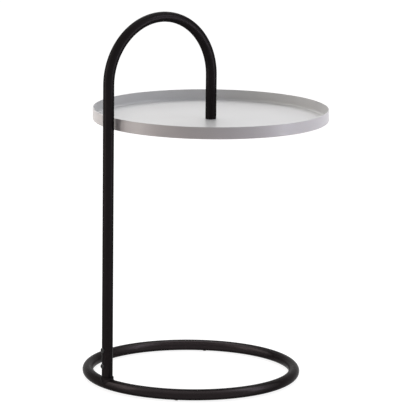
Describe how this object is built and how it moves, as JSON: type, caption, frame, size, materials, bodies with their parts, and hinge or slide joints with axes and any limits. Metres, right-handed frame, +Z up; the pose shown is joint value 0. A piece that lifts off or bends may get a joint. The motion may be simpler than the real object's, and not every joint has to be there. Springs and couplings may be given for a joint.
{
  "type": "side table",
  "caption": "Side table with a round rimmed tray hung from the end of a tube that bends over like a cane's handle and stands on a ring base.",
  "frame": {"origin": "on the floor, at the middle of the table's outline in plan", "axes": "+Z up, +X from the upright towards the tray's middle, the tube's bend in the XZ plane"},
  "size_m": [0.4568, 0.43, 0.6789],
  "materials": {
    "black_powder_coat": "fine satin powder coat, nearly black",
    "grey_paint": "pale grey satin paint",
    "black_screws": "black oxide steel",
    "bare_steel": "bright zinc plate",
    "natural_nylon": "matt undyed nylon, milky white"
  },
  "bodies": {
    "root": {"base_ring": "black_powder_coat", "foot_spigot": "black_powder_coat", "bent_tube": "black_powder_coat", "foot_screw_lower": "black_screws", "foot_screw_upper": "black_screws", "end_plug": "bare_steel", "tray": "grey_paint", "backing_plate": "black_powder_coat", "lock_washer": "bare_steel", "tray_screw": "bare_steel", "glide_1": "natural_nylon", "glide_2": "natural_nylon", "glide_3": "natural_nylon", "glide_4": "natural_nylon"}
  },
  "joints": []
}
